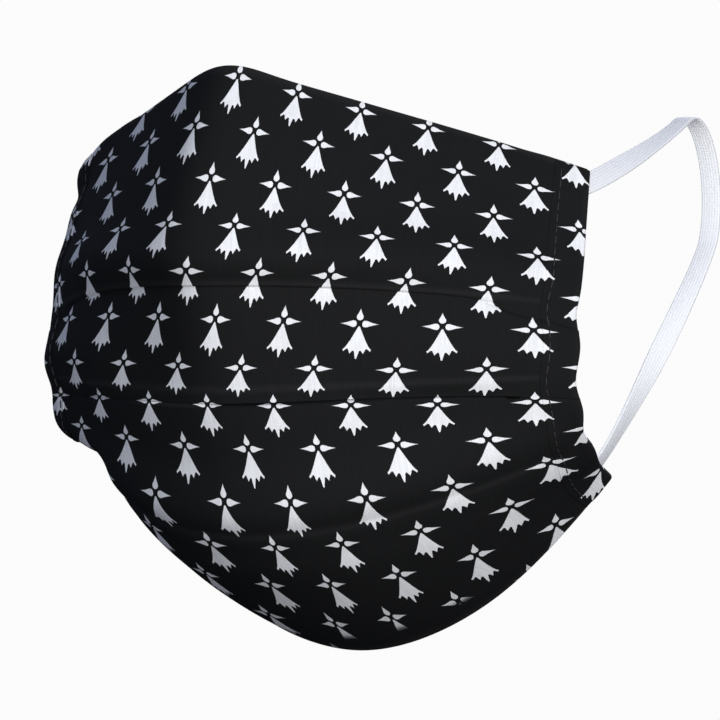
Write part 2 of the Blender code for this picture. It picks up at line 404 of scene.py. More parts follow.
@dataclass(frozen=True)
class MaskForm:
    """The worn shape of the pleated cloth, with its hanging lips."""

    height: float
    depth: float = 0.068
    half_width: float = 0.0755
    bridge_round: float = 0.09
    side_turn: float = math.radians(50)
    # From a least-squares fit to the outline seen in the photograph, then rounded and evened.
    stations: tuple[Station, ...] = (
        Station(0.00, 0.00, 0.000, 0.950, 0.77, 0.200, 1.00, 1.00),
        Station(0.18, -0.23, 0.180, 0.980, 0.64, 0.320, 1.02, 1.30),
        Station(0.36, -0.28, 0.325, 0.995, 0.53, 0.430, 1.10, 1.60),
        Station(0.50, -0.22, 0.465, 1.000, 0.50, 0.515, 1.25, 1.80),
        Station(0.62, -0.17, 0.575, 0.985, 0.54, 0.580, 1.45, 1.95),
        Station(0.80, 0.05, 0.795, 0.935, 0.74, 0.660, 1.80, 2.10),
        Station(0.90, 0.36, 0.900, 0.895, 0.86, 0.690, 2.05, 2.00),
        Station(1.00, 0.76, 1.000, 0.880, 0.97, 0.715, 2.30, 1.80),
    )
    pleats: tuple[Pleat, ...] = (
        Pleat(0.375, 0.335, 0.12, 1.00, (0.0, 0.4), 1.9 * MM, 1.0, 2.0 * MM, 3.6 * MM, 0.60),
        Pleat(0.560, 0.520, 0.14, 0.15, (0.25, 0.75), 1.4 * MM, 0.0, 3.0 * MM, 2.8 * MM, 0.40),
        Pleat(0.772, 0.750, 0.16, 0.90, (0.0, 0.4), 1.9 * MM, 0.0, 9.0 * MM, 2.8 * MM, 0.45),
    )
    settlings: tuple[Settling, ...] = (
        Settling(-1.0, 0.00, 0.26, 0.13, 3.0 * MM, 0.8 * MM, 0.0),
        Settling(-1.0, 0.06, 0.14, 0.030, -1.2 * MM, -1.0 * MM, 0.0),
        Settling(-1.0, 0.22, 0.16, 0.060, 0.9 * MM, 0.8 * MM, 0.0),
        Settling(-0.84, 0.00, 0.13, 0.10, 0.0, 0.0, 2.8 * MM),
        Settling(-0.67, 0.00, 0.11, 0.08, 0.0, 0.0, 1.3 * MM),
        Settling(-0.6, 0.00, 0.32, 0.14, 0.0, 0.0, 2.2 * MM),
        Settling(0.07, 0.00, 0.09, 0.06, 0.0, 0.0, 0.9 * MM),
        Settling(-1.0, 0.67, 0.13, 0.06, 2.6 * MM, 1.4 * MM, 0.0),
        Settling(0.60, 1.00, 0.26, 0.10, 0.0, 0.0, -1.8 * MM),
        Settling(0.15, 1.00, 0.60, 0.022, -0.8 * MM, 0.0, -0.9 * MM),
        Settling(1.0, 0.71, 0.12, 0.05, 0.0, -1.3 * MM, 0.0),
        Settling(-0.84, 0.757, 0.15, 0.040, -4.0 * MM, 0.0, 0.0),
        Settling(-0.72, 0.714, 0.08, 0.022, -2.5 * MM, 0.0, 0.0),
        Settling(1.0, 0.43, 0.16, 0.045, 0.0, 0.7 * MM, 0.0),
        Settling(1.0, 0.35, 0.16, 0.035, 0.0, -0.5 * MM, 0.0),
        Settling(1.0, 0.53, 0.16, 0.040, 0.0, -0.6 * MM, 0.0),
        Settling(1.0, 0.62, 0.16, 0.045, 0.0, 0.5 * MM, 0.0),
        Settling(-1.0, 0.47, 0.16, 0.045, 0.4 * MM, 0.6 * MM, 0.0),
        Settling(-1.0, 0.545, 0.16, 0.040, -0.4 * MM, -0.5 * MM, 0.0),
    )
    edge_ledge: float = 6.0 * MM  # length of the soft step at the side edges
    lip_rise: float = 1.6
    turn_reach: float = 8.0 * MM  # how far above its lip a panel starts to turn in
    turning: tuple[float, float] = (1.0 * MM, 2.5 * MM)  # steps where a lip starts to turn under
    fading: tuple[float, float] = (0.55, 0.88)  # how far across a turned-under lip fades out
    least_turn: float = 0.3 * MM  # radius of the cloth where it turns down again
    curl: float = 0.46 * MM  # radius of the cloth where it turns under a lip
    tuck: float = 3.4 * MM  # how far the cloth runs back up behind a lip
    belly_reach: float = 22 * MM  # height of the swelling above a lip
    belly_lean: float = 0.7  # less than 1 where the swelling is fullest near its lip
    crowding: float = 0.85  # less than 1 where the rows lie closer towards a lip
    drift: float = 0.30 * MM  # how far the cloth strays in long waves
    drawn_in: float = 0.22 * MM  # and in short ones, where the side hems gather it
    drawn_from: tuple[float, float] = (0.45, 0.85)  # how far across the short ones come in
    drawn_to: tuple[float, float] = (0.9, 1.0)  # and go out
    panel_rows: tuple[int, ...] = (52, 30, 34, 40)
    curl_rows: int = 7
    tuck_rows: int = 3

    def _bow(self, across: Array, power: Array) -> Array:
        """0 at the middle and 1 at a side edge, with the middle rounded off."""
        rounded = self.bridge_round**power
        reach = (across**2 + self.bridge_round**2) ** (power / 2) - rounded
        return reach / ((1 + self.bridge_round**2) ** (power / 2) - rounded)

    def smooth(self, across: Array, down: Array) -> Array:
        """Points of the outer surface without its pleats.

        Args:
            across: places across the mask.
            down: places down it, of the same shape.

        Returns:
            The points, in metres.
        """
        across, down = np.broadcast_arrays(np.asarray(across, float), np.asarray(down, float))

        def column(name: str) -> Array:
            """One column of the table, at every place down."""
            return through_rows(self.stations, down, name)

        centre_back = column("centre_back") * self.depth
        edge_back = column("edge_back") * self.depth
        centre_drop = column("centre_drop") * self.height
        edge_drop = column("edge_drop") * self.height
        spacing = (across + np.sin(across * self.side_turn) / math.sin(self.side_turn)) / 2
        return np.stack(
            [
                column("edge_out") * self.half_width * spacing,
                centre_back + (edge_back - centre_back) * self._bow(across, column("back_power")),
                -centre_drop - (edge_drop - centre_drop) * self._bow(across, column("drop_power")),
            ],
            -1,
        )

    def outward(self, across: Array, down: Array) -> Array:
        """Unit normals of the smooth surface, away from the face."""
        downwards = self.smooth(across, down + SLOPE_STEP) - self.smooth(across, down - SLOPE_STEP)
        return unit(np.cross(downwards, self._sideways(across, down)))

    def _sideways(self, across: Array, down: Array) -> Array:
        """How the smooth surface runs towards +X, over a short step."""
        return self.smooth(across + SLOPE_STEP, down) - self.smooth(across - SLOPE_STEP, down)

    def _per_down(self, across: Array, down: Array) -> Array:
        """Metres of cloth for a whole unit of `down`, measured at these places."""
        step = 0.01
        run = self.smooth(across, down + step) - self.smooth(across, down - step)
        return np.linalg.norm(run, axis=-1) / (2 * step)

    def lip_down(self, pleat: Pleat, across: Array) -> Array:
        """Where a pleat's lip lies at these places across."""
        return pleat.centre_down + (pleat.edge_down - pleat.centre_down) * across**2

    def lip_step(self, pleat: Pleat, across: Array) -> Array:
        """How far a pleat's lip stands out at these places across, in metres."""
        opening = pleat.middle_step + (1 - pleat.middle_step) * eased(*pleat.opens, np.abs(across))
        return pleat.step * opening * (1 - (1 - pleat.edge_step) * across**4)

    def folded(self, pleat: Pleat, across: Array) -> Array:
        """1 where the cloth turns back behind the lip, 0 where the pleat is only a step."""
        turns = eased(*self.turning, self.lip_step(pleat, across))
        return pleat.turned * turns * (1 - eased(*self.fading, np.abs(across)))

    def _panel(self, start: Array, pleat: Pleat, across: Array, rows: int) -> tuple[Array, Array]:
        """Rows of one panel, from where it leaves the lip above to its own lip.

        Args:
            start: where the panel starts, for each place across.
            pleat: the fold that it ends in.
            across: places across the mask.
            rows: how many rows it gets.

        Returns:
            The `down` and the lift of each row, for each place across.
        """
        scale = self._per_down(across, self.lip_down(pleat, across))
        end = self.lip_down(pleat, across) - self.curl / scale
        step = self.lip_step(pleat, across)
        belly = pleat.belly * np.minimum(step / pleat.step, 1.0)
        share = (np.arange(rows) / rows)[:, None] ** self.crowding
        down = start + (end - start) * share
        above = (end - down) * scale
        high = np.clip(above / self.belly_reach, 0.0, 1.0)
        swell = np.sin(math.pi * high**self.belly_lean) ** 2
        turned_in = step * pleat.turn_in * (1 - np.clip(above / self.turn_reach, 0.0, 1.0)) ** 2
        return down, step * share**self.lip_rise + belly * swell - turned_in

    def _fold(self, pleat: Pleat, across: Array, thickness: Array) -> tuple[Array, Array, Array]:
        """Rows of one fold: round the lip, back up behind it, and down again.

        Args:
            pleat: the fold.
            across: places across the mask.
            thickness: the cloth's thickness there.

        Returns:
            The `down` and the lift of the cloth's middle for each row, and where the next panel
            starts.
        """
        lip, folded = self.lip_down(pleat, across), self.folded(pleat, across)
        step = self.lip_step(pleat, across) * (1 - pleat.turn_in)
        scale = self._per_down(across, lip)
        upper, lower = step - thickness / 2, -thickness / 2
        turn_back = np.maximum((upper - 2 * self.curl - lower) / 2, self.least_turn)
        turns = np.arange(self.curl_rows + 1)[:, None] * math.pi / self.curl_rows
        run = np.arange(1, self.tuck_rows + 1)[:, None] / (self.tuck_rows + 1)
        first_v = -self.curl + self.curl * np.sin(turns) + 0 * across
        first_w = upper - self.curl + self.curl * np.cos(turns)
        run_v = -self.curl + (self.curl - self.tuck) * run + 0 * across
        run_w = upper - 2 * self.curl + 0 * run
        second_v = -self.tuck - turn_back * np.sin(turns)
        second_w = upper - 2 * self.curl - turn_back + turn_back * np.cos(turns)
        turned_v = np.concatenate([first_v, run_v, second_v])
        turned_w = np.concatenate([first_w, run_w, second_w])
        ledge = pleat.ledge + (self.edge_ledge - pleat.ledge) * across**4
        share = np.linspace(0, 1, len(turned_v))[:, None]
        stepped_v = -self.curl + (self.curl + ledge) * share
        stepped_w = upper + (lower - upper) * eased(0, 1, share)
        v = stepped_v + (turned_v - stepped_v) * folded
        w = stepped_w + (turned_w - stepped_w) * folded
        return lip + v / scale, w, lip + v[-1] / scale

    def rows(self, across: Array, thickness: Array) -> tuple[Array, Array]:
        """Every row of the pleated cloth, from the top edge to the chin hem.

        Args:
            across: places across the mask, in one dimension.
            thickness: the cloth's thickness at each.

        Returns:
            The `down` and the lift of the cloth's middle, each with a row for each row of cloth.
        """
        downs, lifts = [], []
        start = np.zeros_like(across)
        for pleat, rows in zip(self.pleats, self.panel_rows):
            down, lift = self._panel(start, pleat, across, rows)
            downs.append(down)
            lifts.append(lift - thickness / 2)
            down, lift, start = self._fold(pleat, across, thickness)
            downs.append(down)
            lifts.append(lift)
        share = np.arange(1, self.panel_rows[-1] + 1)[:, None] / self.panel_rows[-1]
        downs.append(start + (1 - start) * share)
        lifts.append(-thickness / 2 + 0 * share)
        return np.concatenate(downs), np.concatenate(lifts)

    def middle(self, across: Array, down: Array, lift: Array) -> Array:
        """Points through the middle of the cloth, with the small unevenness of real cloth."""
        across = np.broadcast_to(across, down.shape)
        outwards, sideways, upwards = self.settled(across, down)
        leftwards = unit(self._sideways(across, down))
        outward = self.outward(across, down)
        along = np.cross(leftwards, outward)
        moved = outward * (lift + self._unevenness(across, down) + outwards)[..., None]
        moved = moved + leftwards * (sideways * np.sign(across))[..., None]
        return self.smooth(across, down) + moved - along * upwards[..., None]

    def settled(self, across: Array, down: Array) -> tuple[Array, Array, Array]:
        """How far the worn cloth has settled away from its even shape.

        Args:
            across: places across the mask.
            down: places down it.

        Returns:
            How far it has moved outwards, away from the middle, and upwards, in metres.
        """
        outwards, sideways, upwards = np.zeros((3, *np.shape(down)))
        for place in self.settlings:
            share = falling_off(place, across, down)
            outwards = outwards + place.outwards * share
            sideways = sideways + place.sideways * share
            upwards = upwards + place.upwards * share
        return outwards, sideways, upwards

    def _unevenness(self, across: Array, down: Array) -> Array:
        """How far the cloth strays in and out of its plain shape, in metres.

        The waves' lengths and starts share no common measure, so that no pattern shows.
        """
        wide = np.sin(5.3 * across + 7.1 * down + 0.6) * np.sin(3.7 * across - 9.4 * down + 1.9)
        drawn = np.sin(38 * down + 3.0 * np.sin(2.2 * across))
        drawn = drawn * np.sin(21 * down - 4.0 * across + 0.8)
        near_edge = eased(*self.drawn_from, np.abs(across))
        near_edge = near_edge * (1 - eased(*self.drawn_to, np.abs(across)))
        return self.drift * wide + self.drawn_in * drawn * near_edge


@dataclass(frozen=True)
class PrintChart:
    """Where the rows and columns of the print fall on the worn cloth."""

    # From a least-squares fit to the places of the spots, which were read off.
    rows: tuple[PrintRow, ...] = (
        PrintRow(0.00, -1.9, 11.3, 5.6, 0.6, 1.1),
        PrintRow(0.12, -1.8, 11.1, 5.4, 2.2, 2.7),
        PrintRow(0.26, -1.6, 10.7, 5.9, 3.8, 4.4),
        PrintRow(0.40, -0.9, 9.9, 6.2, 5.4, 5.9),
        PrintRow(0.55, 0.0, 8.8, 6.5, 7.3, 7.3),
        PrintRow(0.70, 0.0, 8.9, 5.9, 9.5, 9.2),
        PrintRow(0.85, 0.1, 8.6, 5.8, 11.7, 10.6),
        PrintRow(1.00, 0.6, 8.9, 5.7, 13.7, 11.4),
    )
    nudges: tuple[PrintNudge, ...] = (
        PrintNudge(1.00, 0.25, 0.12, 0.25, -0.20, 0.00),
        PrintNudge(1.00, 0.52, 0.25, 0.09, 0.00, 0.30),
        PrintNudge(0.08, 0.96, 0.20, 0.06, 0.00, -0.10),
        PrintNudge(-1.00, 0.92, 0.34, 0.18, -0.90, 0.00),
    )
    ridge: float = 0.07  # how far across the middle the two halves blend
    slack: float = 0.2  # how much wider the print lies near the middle than at the sides
    bend: float = 2.3  # power of the rows' curve from the middle to a side edge
    tilt: float = -0.2  # how much lower the rows lie on the left, in half pitches

    def place(self, across: Array, down: Array) -> Array:
        """Places on the print.

        Args:
            across: places across the mask.
            down: places down it.

        Returns:
            The place on the print, in pitches to the left and down.
        """

        def column(name: str) -> Array:
            """One column of the table, at every place down."""
            return through_rows(self.rows, down, name)

        rounded = np.sqrt(across**2 + self.ridge**2)
        to_left, to_right = (rounded + across) / 2, (rounded - across) / 2
        sideways = (
            column("shift")
            + column("left_reach") * to_left * (1 + self.slack * (1 - to_left))
            - column("right_reach") * to_right * (1 + self.slack * (1 - to_right))
        )
        middle, side = column("middle_row"), column("side_row")
        downwards = middle + (side - middle) * np.abs(across) ** self.bend + self.tilt * across
        for nudge in self.nudges:
            share = falling_off(nudge, across, down)
            sideways = sideways + nudge.sideways * share
            downwards = downwards + nudge.downwards * share
        return np.stack([sideways / 2, downwards / 2], -1)


# ---- finishes


class Wire:
    """A number that runs through a node tree, and adds a Math node for each sum done with it."""

    def __init__(self, tree: Tree, socket: Socket) -> None:
        """Takes hold of one output socket."""
        self.tree = tree
        self.socket = socket

    def does(self, operation: str, *others: "Wire | float") -> "Wire":
        """One Math node.

        Args:
            operation: Blender's name for the operation.
            others: the other inputs, as wires or plain numbers.

        Returns:
            The result.
        """
        node = self.tree.nodes.new("ShaderNodeMath")
        node.operation = operation
        for place, value in enumerate((self, *others)):
            if isinstance(value, Wire):
                self.tree.links.new(value.socket, node.inputs[place])
            else:
                node.inputs[place].default_value = float(value)
        return Wire(self.tree, node.outputs[0])

    def __add__(self, other: "Wire | float") -> "Wire":
        """The sum."""
        return self.does("ADD", other)

    def __sub__(self, other: "Wire | float") -> "Wire":
        """The difference."""
        return self.does("SUBTRACT", other)

    def __mul__(self, other: "Wire | float") -> "Wire":
        """The product."""
        return self.does("MULTIPLY", other)

    def shaped(self, tall: float, *outline: tuple[float, float]) -> "Wire":
        """Reads a drawn outline.

        Args:
            tall: a value that the outline stays under.
            outline: places and values along it, in order, joined by straight lines.

        Returns:
            The outline's value at this wire's place.
        """
        low, high = outline[0][0], outline[-1][0]
        node = self.tree.nodes.new("ShaderNodeFloatCurve")
        curve = node.mapping.curves[0]
        spread = [((place - low) / (high - low), value / tall) for place, value in outline]
        while len(curve.points) < len(spread):
            curve.points.new(0.5, 0.5)
        for point, place in zip(curve.points, spread):
            point.location = place
            point.handle_type = "VECTOR"
        node.mapping.update()
        placed = (self - low) * (1 / (high - low))
        self.tree.links.new(placed.socket, node.inputs["Value"])
        return Wire(self.tree, node.outputs[0]) * tall

    def wave(self, shape: str = "SINE") -> "Wire":
        """A wave between 0 and 1 that this number, in radians, runs along."""
        return self.does(shape) * 0.5 + 0.5

    def ranged(self, low: float, high: float) -> "Wire":
        """This number, which is between 0 and 1, spread over another range."""
        return self * (high - low) + low

    def inside(self, edge: "Wire | float", softness: float) -> "Wire":
        """1 where this is under an edge, falling to 0 over a short softness."""
        gap = (self - edge) * (-1 / softness)
        found = gap.does("MAXIMUM", 0.0)
        return found.does("MINIMUM", 1.0)


def coordinates(tree: Tree, place: Socket) -> tuple[Wire, Wire]:
    """The first two coordinates of a place.

    Args:
        tree: the tree that the place belongs to.
        place: the socket that gives it.

    Returns:
        A wire for each.
    """
    split = tree.nodes.new("ShaderNodeSeparateXYZ")
    tree.links.new(place, split.inputs[0])
    return Wire(tree, split.outputs[0]), Wire(tree, split.outputs[1])


@dataclass
class Group:
    """A shader node group that several finishes share."""

    name: str
    inputs: Sequence[tuple[str, str, float]]
    outputs: Sequence[tuple[str, str]]
    tree: Tree = field(init=False)

    def __post_init__(self) -> None:
        """Makes the empty group with its named sockets."""
        self.tree = bpy.data.node_groups.new(self.name, "ShaderNodeTree")
        for name, kind, value in self.inputs:
            socket = self.tree.interface.new_socket(name=name, in_out="INPUT", socket_type=kind)
            if kind == FLOAT:
                socket.default_value = value
        for name, kind in self.outputs:
            self.tree.interface.new_socket(name=name, in_out="OUTPUT", socket_type=kind)
        self.entry = self.tree.nodes.new("NodeGroupInput")
        self.exit = self.tree.nodes.new("NodeGroupOutput")

    def wire(self, name: str) -> Wire:
        """One of the group's number inputs."""
        return Wire(self.tree, self.entry.outputs[name])

    def parts(self, name: str) -> tuple[Wire, Wire]:
        """The first two coordinates of one of the group's vector inputs."""
        return coordinates(self.tree, self.entry.outputs[name])

    def gives(self, name: str, value: Wire) -> None:
        """Sends a wire to one of the group's outputs."""
        self.tree.links.new(value.socket, self.exit.inputs[name])


def plain_weave() -> Tree:
    """Over-and-under threads of a plain woven cloth.

    Returns:
        A group that takes a place on the cloth in millimetres and gives the threads' height and
        tone.
    """
    group = Group(
        "plain_weave",
        [("Place", VECTOR, 0.0), ("Threads", FLOAT, THREADS)],
        [("Height", FLOAT), ("Tone", FLOAT)],
    )
    x, y = (part * group.wire("Threads") for part in group.parts("Place"))

    def thread(along: Wire, over: Wire, parity: float) -> Wire:
        """The height of the threads of one direction, up where they cross over the others."""
        crown = (over * math.pi).does("SINE").does("ABSOLUTE")
        return crown * ((along + over.does("FLOOR") + parity) * math.pi).wave("COSINE")

    group.gives("Height", thread(y, x, 0.0).does("MAXIMUM", thread(x, y, 1.0)))
    noise_node = group.tree.nodes.new("ShaderNodeTexWhiteNoise")
    noise_node.noise_dimensions = "2D"
    joined = group.tree.nodes.new("ShaderNodeCombineXYZ")
    group.tree.links.new(x.does("FLOOR").socket, joined.inputs[0])
    same_tone = 25  # threads that one thread crosses before its tone changes
    group.tree.links.new((y * (1 / same_tone)).does("FLOOR").socket, joined.inputs[1])
    group.tree.links.new(joined.outputs[0], noise_node.inputs["Vector"])
    group.gives("Tone", Wire(group.tree, noise_node.outputs["Value"]))
    return group.tree


def ermine_spots() -> Tree:
    """White ermine spots in staggered rows: three leaves over a flared tail with five tips.

    Returns:
        A group that takes a place on the print in pitches and gives 1 on a spot.
    """
    group = Group("ermine_spots", [("Place", VECTOR, 0.0)], [("Spot", FLOAT)])
    x, y = group.parts("Place")
    one = (x + y).does("ROUND")
    other = (x - y).does("ROUND")
    from_middle = (x - (one + other) * 0.5).does("ABSOLUTE")
    below = y - (one - other) * 0.5
    half_width = below.shaped(
        0.25,
        *((-0.280, 0.000), (-0.270, 0.000), (-0.240, 0.013), (-0.212, 0.028), (-0.192, 0.042)),
        *((-0.176, 0.046), (-0.160, 0.040), (-0.147, 0.022), (-0.142, 0.000), (-0.084, 0.000)),
        *((-0.076, 0.013), (-0.040, 0.034), (0.000, 0.058), (0.060, 0.093), (0.120, 0.134)),
        *((0.148, 0.158), (0.164, 0.178), (0.176, 0.172), (0.280, 0.160)),
    )
    foot = from_middle.shaped(
        0.28,
        *((0.000, 0.272), (0.008, 0.266), (0.020, 0.222), (0.030, 0.184), (0.046, 0.176)),
        *((0.066, 0.192), (0.082, 0.212), (0.094, 0.190), (0.108, 0.160), (0.124, 0.156)),
        *((0.146, 0.172), (0.166, 0.186), (0.176, 0.174), (0.186, 0.156), (0.250, 0.156)),
    )
    leaf = from_middle.shaped(
        0.05,
        *((0.000, 0.000), (0.034, 0.000), (0.040, 0.022), (0.055, 0.034), (0.078, 0.037)),
        *((0.105, 0.032), (0.140, 0.021), (0.180, 0.012), (0.220, 0.005), (0.247, 0.001)),
        *((0.250, 0.000), (0.300, 0.000)),
    )
    softness = 0.006
    leaves_above = 0.106  # the side leaves' own line
    tail = from_middle.inside(half_width, softness) * below.inside(foot, softness)
    leaves = (below + leaves_above).does("ABSOLUTE").inside(leaf, softness)
    group.gives("Spot", tail.does("MAXIMUM", leaves))
    return group.tree


def fibre_mottle() -> Tree:
    """Soft unevenness of dyed fibre.

    Returns:
        A group that takes a place in millimetres and gives a slow and a fine variation around 1.
    """
    group = Group(
        "fibre_mottle",
        [("Place", VECTOR, 0.0), ("Amount", FLOAT, 0.1)],
        [("Variation", FLOAT)],
    )
    total = None
    slow, fine = (0.035, 0.6), (0.6, 0.4)  # how often each varies in a millimetre, and its share
    for scale, share in (slow, fine):
        cloud = group.tree.nodes.new("ShaderNodeTexNoise")
        cloud.inputs["Scale"].default_value = scale
        cloud.inputs["Detail"].default_value = 4.0
        group.tree.links.new(group.entry.outputs["Place"], cloud.inputs["Vector"])
        part = (Wire(group.tree, cloud.outputs["Fac"]) - 0.5) * share
        total = part if total is None else total + part
    group.gives("Variation", total * group.wire("Amount") * 2.0 + 1.0)
    return group.tree


@dataclass
class Dresser:
    """Builds one material from shared groups."""

    name: str

    def __post_init__(self) -> None:
        """Makes the material with its Principled shader."""
        self.material = bpy.data.materials.new(self.name)
        self.material.use_nodes = True
        self.tree = self.material.node_tree
        self.shader = self.tree.nodes["Principled BSDF"]

    def place(self, map_name: str) -> Socket:
        """The coordinates of one of the piece's maps."""
        node = self.tree.nodes.new("ShaderNodeUVMap")
        node.uv_map = map_name
        return node.outputs[0]

    def mark(self, name: str) -> Wire:
        """A number that the piece carries on its vertices."""
        node = self.tree.nodes.new("ShaderNodeAttribute")
        node.attribute_name = name
        return Wire(self.tree, node.outputs["Fac"])

    def uses(self, group: Tree, place: Socket, **values: float) -> bpy.types.Node:
        """Places a shared group.

        Args:
            group: the group.
            place: the coordinates that it reads.
            values: its other inputs, by name.

        Returns:
            The group's node.
        """
        node = self.tree.nodes.new("ShaderNodeGroup")
        node.node_tree = group
        self.tree.links.new(place, node.inputs["Place"])
        for name, value in values.items():
            node.inputs[name].default_value = value
        return node

    def wire(self, node: bpy.types.Node, output: str) -> Wire:
        """One of a node's number outputs."""
        return Wire(self.tree, node.outputs[output])

    def blend(self, first: Colour | Socket, second: Colour, share: Wire) -> Socket:
        """A colour between two.

        Args:
            first: the colour where the share is 0, or the socket that gives it.
            second: the colour where it is 1.
            share: how much of the second shows.

        Returns:
            The mixed colour.
        """
        node = self.tree.nodes.new("ShaderNodeMix")
        node.data_type = "RGBA"
        if isinstance(first, Socket):
            self.tree.links.new(first, node.inputs["A"])
        else:
            node.inputs["A"].default_value = (*first, 1.0)
        node.inputs["B"].default_value = (*second, 1.0)
        self.tree.links.new(share.socket, node.inputs["Factor"])
        return node.outputs["Result"]

    def shaded(self, colour: Socket, strength: Wire) -> Socket:
        """A colour made lighter or darker by a number around 1."""
        node = self.tree.nodes.new("ShaderNodeVectorMath")
        node.operation = "SCALE"
        self.tree.links.new(colour, node.inputs[0])
        self.tree.links.new(strength.socket, node.inputs["Scale"])
        return node.outputs[0]

    def feeds(self, value: Socket, socket: str) -> None:
        """Links a value to one of the shader's sockets."""
        self.tree.links.new(value, self.shader.inputs[socket])

    def bumps(self, height: Wire, distance: float, strength: float) -> None:
        """Gives the surface a small relief.

        Args:
            height: the relief, 0 to 1.
            distance: how high 1 is, in metres.
            strength: how much of it shows.
        """
        node = self.tree.nodes.new("ShaderNodeBump")
        node.inputs["Distance"].default_value = distance
        node.inputs["Strength"].default_value = strength
        self.tree.links.new(height.socket, node.inputs["Height"])
        self.tree.links.new(node.outputs[0], self.shader.inputs["Normal"])

    def plain(self, **values: float | tuple[float, ...]) -> None:
        """Sets the shader's sockets that are the same all over, by name with _ for a space."""
        for name, value in values.items():
            self.shader.inputs[name.replace("_", " ")].default_value = value


@dataclass(frozen=True)
class PrintedCloth:
    """Thin woven cloth, printed black around white ermine spots."""

    black: Colour = (0.0096, 0.0099, 0.0102)
    white: Colour = (0.88, 0.89, 0.90)
    rubbed: Colour = (0.026, 0.026, 0.027)
    rub: float = 0.5  # how far the black turns to that on a rubbed edge
    roughness: float = 0.82

    def build(self, weave: Tree, spots: Tree, mottle: Tree) -> Material:
        """Makes the finish from the shared weave, spots and mottle."""
        dress = Dresser("printed_ermine_cloth")
        flat = dress.place("woven")
        threads = dress.uses(weave, flat, Threads=THREADS)
        uneven = dress.uses(mottle, flat, Amount=0.16)
        spot = dress.wire(dress.uses(spots, dress.place("printed")), "Spot")
        ground = dress.blend(self.black, self.rubbed, dress.mark("worn") * self.rub)
        # The print is left off along the chin edge: painted shade.
        printed = spot * (dress.mark("painted_chin_shade") * -1.0 + 1.0)
        colour = dress.blend(ground, self.white, printed)
        height = dress.wire(threads, "Height")
        variation = dress.wire(uneven, "Variation")
        # Each thread's own tone, times painted shade in the dips between the threads.
        tone = dress.wire(threads, "Tone").ranged(0.95, 1.05) * height.ranged(0.92, 1.04)
        dress.feeds(dress.shaded(colour, variation * tone), "Base Color")
        dress.feeds((variation * self.roughness).socket, "Roughness")
        dress.bumps(height, distance=0.06 * MM, strength=0.35)
        dress.plain(Specular_IOR_Level=0.10)
        return dress.material


@dataclass(frozen=True)
class PlainCloth:
    """The unprinted face of the cloth, towards the wearer."""

    white: Colour = (0.86, 0.86, 0.85)
    thread_gap_shade: Colour = (0.76, 0.76, 0.76)  # painted shade between the threads

    def build(self, weave: Tree, mottle: Tree) -> Material:
        """Makes the finish from the shared weave and mottle."""
        dress = Dresser("plain_white_cloth")
        flat = dress.place("woven")
        threads = dress.uses(weave, flat, Threads=THREADS)
        uneven = dress.uses(mottle, flat, Amount=0.06)
        height = dress.wire(threads, "Height")
        # Mottle, times painted shade in the dips between the threads, which also get the darker gap
        # colour.
        shade = dress.wire(uneven, "Variation") * height.ranged(0.92, 1.02)
        colour = dress.blend(self.thread_gap_shade, self.white, height)
        dress.feeds(dress.shaded(colour, shade), "Base Color")
        dress.bumps(height, distance=0.06 * MM, strength=0.4)
        dress.plain(Roughness=0.88, Specular_IOR_Level=0.2, Sheen_Weight=0.05)
        return dress.material


@dataclass(frozen=True)
class KnittedElastic:
    """White flat elastic, knitted in ribs that run along it."""

    white: Colour = (0.92, 0.93, 0.95)
    # painted shade in the grooves between the ribs and the stitches
    shade: Colour = (0.80, 0.81, 0.84)
    stitch: float = 0.75  # length of one knitted stitch, in millimetres
    rib_relief: float = 0.7  # the ribs' share of the height, where the stitches have the rest
    slant: float = 0.6  # how far a stitch leans over on a rib, in radians of its wave

    def build(self, mottle: Tree) -> Material:
        """Makes the finish. The piece's map is in millimetres, across it and along it."""
        dress = Dresser("white_knitted_elastic")
        flat = dress.place("woven")
        across, along = coordinates(dress.tree, flat)
        half_wave = ELASTIC_RIBS * math.pi / ELASTIC_WIDTH
        rib = (across * half_wave).does("SINE").does("ABSOLUTE") * self.rib_relief
        slant = (across * (2 * half_wave)).does("SINE") * self.slant
        knit = (along * (2 * math.pi / self.stitch) + slant).wave()
        height = rib + knit * (1 - self.rib_relief)
        uneven = dress.uses(mottle, flat, Amount=0.05)
        # Painted shade in the knit's grooves.
        colour = dress.blend(self.shade, self.white, height * 1.3 + 0.1)
        dress.feeds(dress.shaded(colour, dress.wire(uneven, "Variation")), "Base Color")
        dress.bumps(height, distance=0.12 * MM, strength=0.6)
        dress.plain(Roughness=0.75, Specular_IOR_Level=0.25, Sheen_Weight=0.1)
        return dress.material


@dataclass(frozen=True)
class SewingThread:
    """Black twisted sewing thread."""

    black: Colour = (0.014, 0.014, 0.016)
    # painted highlight on the crowns of the twisted plies
    painted_ply_highlight: Colour = (0.045, 0.045, 0.050)
    twist: float = 0.35  # length of one turn of the twist, in millimetres

    def build(self, mottle: Tree) -> Material:
        """Makes the finish. The map runs 0 to 1 round the thread, and in millimetres along it."""
        dress = Dresser("black_sewing_thread")
        flat = dress.place("woven")
        around, along = coordinates(dress.tree, flat)
        plies = 2
        ply = (along * (2 * math.pi / self.twist) + around * (plies * 2 * math.pi)).wave()
        uneven = dress.uses(mottle, flat, Amount=0.1)
        # Painted highlight along the twist of the plies.
        colour = dress.blend(self.black, self.painted_ply_highlight, ply)
        dress.feeds(dress.shaded(colour, dress.wire(uneven, "Variation")), "Base Color")
        dress.bumps(ply, distance=0.05 * MM, strength=0.6)
        dress.plain(Roughness=0.5, Specular_IOR_Level=0.4)
        return dress.material


@dataclass
class Finishes:
    """Every finish of the mask, built once."""

    def __post_init__(self) -> None:
        """Builds the shared groups and the materials that use them."""
        weave, spots, mottle = plain_weave(), ermine_spots(), fibre_mottle()
        self.printed = PrintedCloth().build(weave, spots, mottle)
        self.plain = PlainCloth().build(weave, mottle)
        self.elastic = KnittedElastic().build(mottle)
        self.thread = SewingThread().build(mottle)


# ---- the pieces


